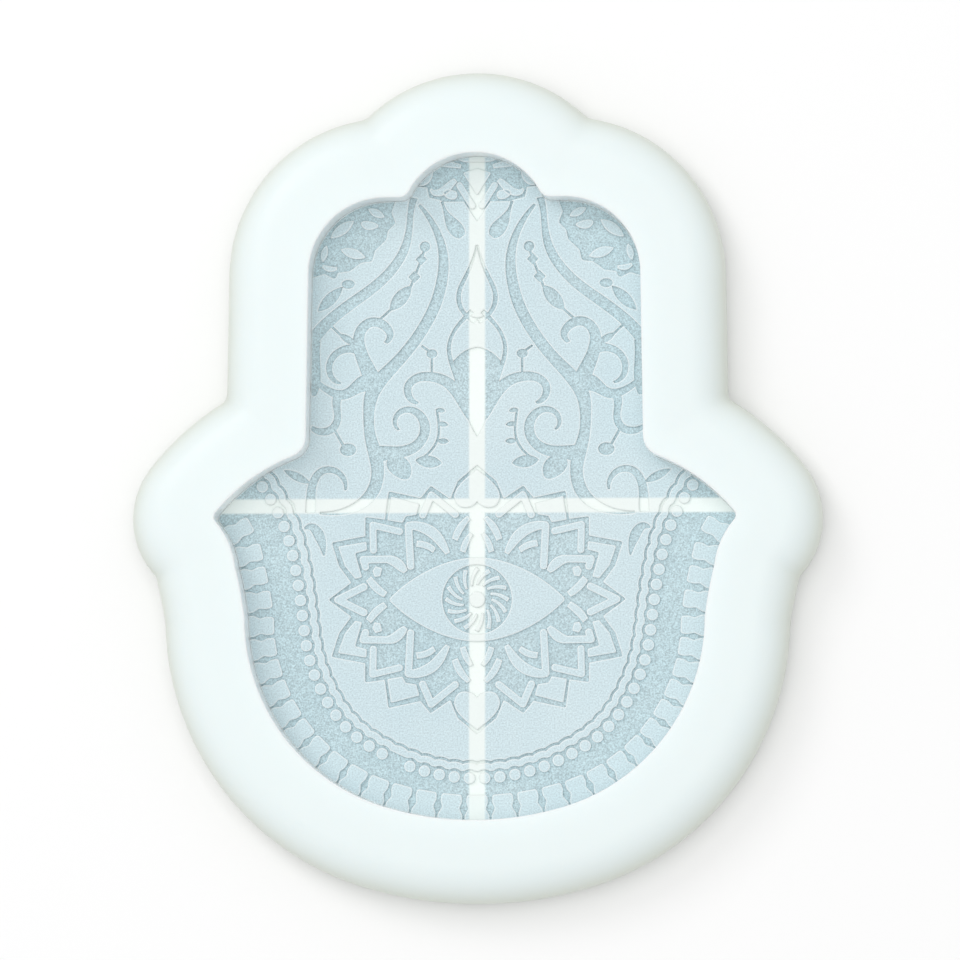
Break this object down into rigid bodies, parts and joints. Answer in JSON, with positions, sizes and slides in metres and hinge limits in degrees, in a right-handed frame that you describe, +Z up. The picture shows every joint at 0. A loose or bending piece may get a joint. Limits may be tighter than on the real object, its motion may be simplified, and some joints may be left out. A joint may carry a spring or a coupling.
{
  "type": "resin casting mould",
  "caption": "Open-top silicone casting mould shaped like a hamsa hand, with a broad rounded rim, a thin ribbed floor and a low ornamental relief in the cavity.",
  "frame": {"origin": "on the table, at the middle of the mould's length and width", "axes": "+X to the right, +Y from the heel of the hand to the fingertips, +Z up out of the cavity"},
  "size_m": [0.1296, 0.156, 0.013],
  "materials": {
    "rim_silicone": "satin translucent white silicone",
    "floor_silicone": "thin translucent silicone membrane, fine frosted grain",
    "rib_silicone": "satin translucent white silicone",
    "relief_silicone": "translucent silicone, fine frosted grain"
  },
  "bodies": {
    "root": {"rim_wall": "rim_silicone", "cavity_floor": "floor_silicone", "long_rib": "rib_silicone", "cross_rib": "rib_silicone", "main_field": "relief_silicone", "finger_side_fields": "relief_silicone", "scroll_fields": "relief_silicone", "centre_chevron": "relief_silicone", "centre_teardrop": "relief_silicone", "eye_pad": "relief_silicone", "iris_blades": "relief_silicone", "pupil_pad": "relief_silicone", "eye_chevrons": "relief_silicone", "tip_strokes": "relief_silicone", "leaf_petals": "relief_silicone", "boat_petals": "relief_silicone", "seed_pads": "relief_silicone", "corner_petals": "relief_silicone", "round_petals": "relief_silicone", "inner_strokes": "relief_silicone", "square_petals": "relief_silicone", "vee_petals": "relief_silicone", "bud_strokes": "relief_silicone", "bud_pads": "relief_silicone", "crown_pads": "relief_silicone", "corner_flower_pads": "relief_silicone", "bead_row": "relief_silicone", "wavy_strip": "relief_silicone", "border_blocks": "relief_silicone"}
  },
  "joints": []
}
